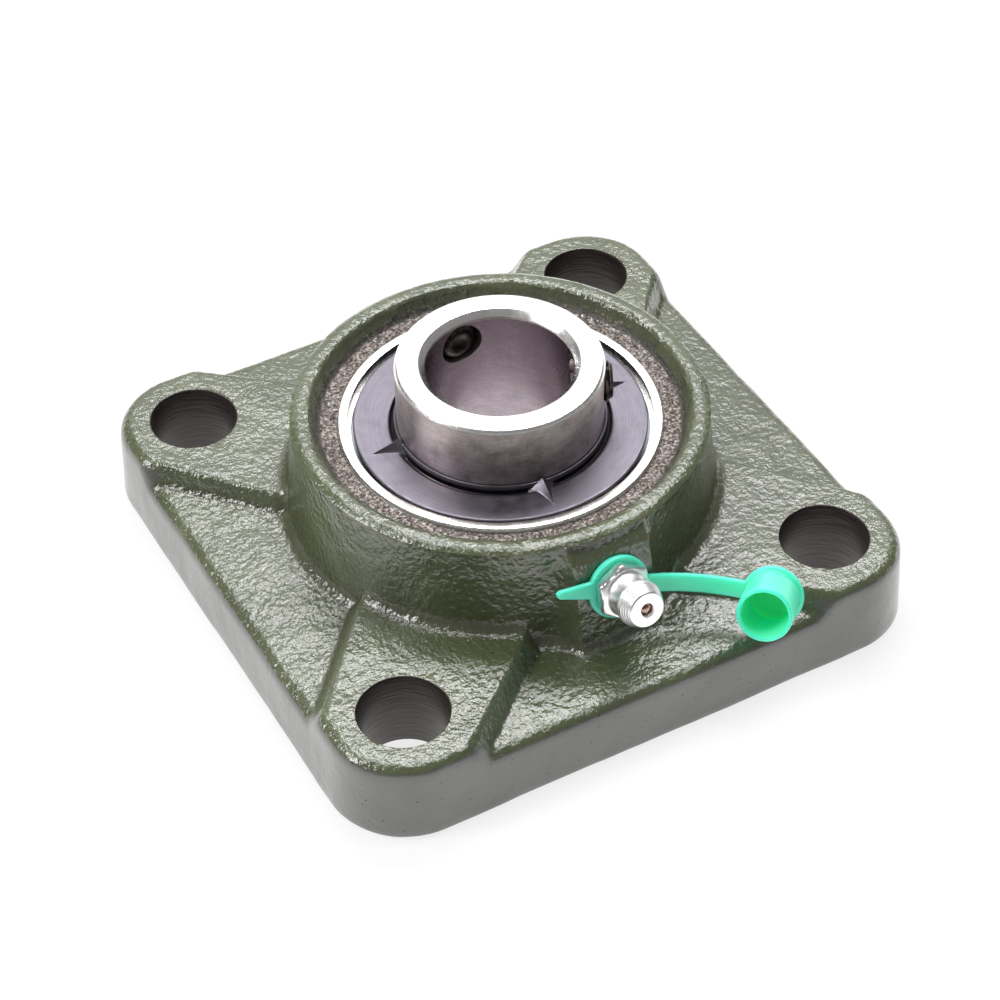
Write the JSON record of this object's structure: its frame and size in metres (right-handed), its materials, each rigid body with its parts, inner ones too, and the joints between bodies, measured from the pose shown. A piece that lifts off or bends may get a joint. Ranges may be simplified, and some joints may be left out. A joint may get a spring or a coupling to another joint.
{
  "type": "four-bolt flange bearing",
  "caption": "Square cast flange housing with bolt holes and a swivelling insert ball bearing, with set screws in its wide inner ring, a grease nipple and a captive grease cap.",
  "frame": {"origin": "on the shaft bore's axis, in the plane of the flange's back mounting face", "axes": "+Z along the shaft bore's axis, from the mounting face to the nose; -Y towards the grease nipple; X and Y along the rows of bolt holes"},
  "size_m": [0.086, 0.0906, 0.0333],
  "materials": {
    "cast_paint": "glossy olive-green enamel over the raw casting",
    "ring_steel": "ground bearing steel, fine turned lines",
    "ball_steel": "polished",
    "cage_steel": "pressed strip, satin",
    "carrier_steel": "pressed sheet, satin",
    "seal_rubber": "matt black",
    "flinger_steel": "satin zinc with a lilac tint",
    "screw_steel": "black oxide, oiled",
    "nipple_steel": "bright zinc plate",
    "spring_wire": "drawn wire",
    "cap_plastic": "clear spring-green moulding"
  },
  "bodies": {
    "flange_housing": {"housing": "cast_paint", "nipple_body": "nipple_steel", "nipple_spring": "spring_wire"},
    "swivel_ring": {"outer_ring": "ring_steel", "front_seal_shield": "carrier_steel", "rear_seal_shield": "carrier_steel", "front_seal_lip": "seal_rubber", "rear_seal_lip": "seal_rubber"},
    "shaft_ring": {"inner_ring": "ring_steel", "front_flinger": "flinger_steel", "rear_flinger": "flinger_steel"},
    "cage": {"cage_front_half": "cage_steel", "cage_rear_half": "cage_steel", "cage_rivets": "cage_steel"},
    "ball_1_body": {"ball_1": "ball_steel"},
    "ball_2_body": {"ball_2": "ball_steel"},
    "ball_3_body": {"ball_3": "ball_steel"},
    "ball_4_body": {"ball_4": "ball_steel"},
    "ball_5_body": {"ball_5": "ball_steel"},
    "ball_6_body": {"ball_6": "ball_steel"},
    "ball_7_body": {"ball_7": "ball_steel"},
    "ball_8_body": {"ball_8": "ball_steel"},
    "screw_1": {"set_screw_1": "screw_steel"},
    "screw_2": {"set_screw_2": "screw_steel"},
    "check_ball": {"nipple_ball": "ball_steel"},
    "cap": {"grease_cap": "cap_plastic"}
  },
  "joints": [
    {"name": "alignment_tilt", "type": "hinge", "parent": "flange_housing", "child": "swivel_ring", "pos_m": [0, 0, 0.015], "axis": [1, 0, 0], "range_deg": [-2, 2]},
    {"name": "shaft_spin", "type": "hinge", "parent": "swivel_ring", "child": "shaft_ring", "pos_m": [0, 0, 0.015], "axis": [0, 0, 1], "continuous": true},
    {"name": "cage_spin", "type": "hinge", "parent": "swivel_ring", "child": "cage", "pos_m": [0, 0, 0.015], "axis": [0, 0, 1], "continuous": true},
    {"name": "ball_1_spin", "type": "hinge", "parent": "cage", "child": "ball_1_body", "pos_m": [0.01675, 0, 0.015], "axis": [0, 0, 1], "continuous": true},
    {"name": "ball_2_spin", "type": "hinge", "parent": "cage", "child": "ball_2_body", "pos_m": [0.01184, 0.01184, 0.015], "axis": [0, 0, 1], "continuous": true},
    {"name": "ball_3_spin", "type": "hinge", "parent": "cage", "child": "ball_3_body", "pos_m": [0, 0.01675, 0.015], "axis": [0, 0, 1], "continuous": true},
    {"name": "ball_4_spin", "type": "hinge", "parent": "cage", "child": "ball_4_body", "pos_m": [-0.01184, 0.01184, 0.015], "axis": [0, 0, 1], "continuous": true},
    {"name": "ball_5_spin", "type": "hinge", "parent": "cage", "child": "ball_5_body", "pos_m": [-0.01675, 0, 0.015], "axis": [0, 0, 1], "continuous": true},
    {"name": "ball_6_spin", "type": "hinge", "parent": "cage", "child": "ball_6_body", "pos_m": [-0.01184, -0.01184, 0.015], "axis": [0, 0, 1], "continuous": true},
    {"name": "ball_7_spin", "type": "hinge", "parent": "cage", "child": "ball_7_body", "pos_m": [0, -0.01675, 0.015], "axis": [0, 0, 1], "continuous": true},
    {"name": "ball_8_spin", "type": "hinge", "parent": "cage", "child": "ball_8_body", "pos_m": [0.01184, -0.01184, 0.015], "axis": [0, 0, 1], "continuous": true},
    {"name": "screw_1_travel", "type": "slide", "parent": "shaft_ring", "child": "screw_1", "axis": [0.8949, -0.4462, 0], "range_m": [-0.0011, 0.003]},
    {"name": "screw_2_travel", "type": "slide", "parent": "shaft_ring", "child": "screw_2", "axis": [-0.061, 0.9981, 0], "range_m": [-0.0011, 0.003]},
    {"name": "check_ball_travel", "type": "slide", "parent": "flange_housing", "child": "check_ball", "axis": [0, 0.9613, -0.2756], "range_m": [0, 0.0005], "stiffness_N_per_m": 200, "springref_m": -0.002, "deforming": ["nipple_spring"]},
    {"name": "cap_swing", "type": "hinge", "parent": "flange_housing", "child": "cap", "pos_m": [0, -0.0309, 0.0182], "axis": [0, -0.9613, 0.2756], "range_deg": [-4, 66]}
  ],
  "couplings": [
    {"joint": "cage_spin", "follows": "shaft_spin", "ratio": 0.38152},
    {"joint": "ball_1_spin", "follows": "shaft_spin", "ratio": -1.9916},
    {"joint": "ball_2_spin", "follows": "shaft_spin", "ratio": -1.9916},
    {"joint": "ball_3_spin", "follows": "shaft_spin", "ratio": -1.9916},
    {"joint": "ball_4_spin", "follows": "shaft_spin", "ratio": -1.9916},
    {"joint": "ball_5_spin", "follows": "shaft_spin", "ratio": -1.9916},
    {"joint": "ball_6_spin", "follows": "shaft_spin", "ratio": -1.9916},
    {"joint": "ball_7_spin", "follows": "shaft_spin", "ratio": -1.9916},
    {"joint": "ball_8_spin", "follows": "shaft_spin", "ratio": -1.9916}
  ]
}
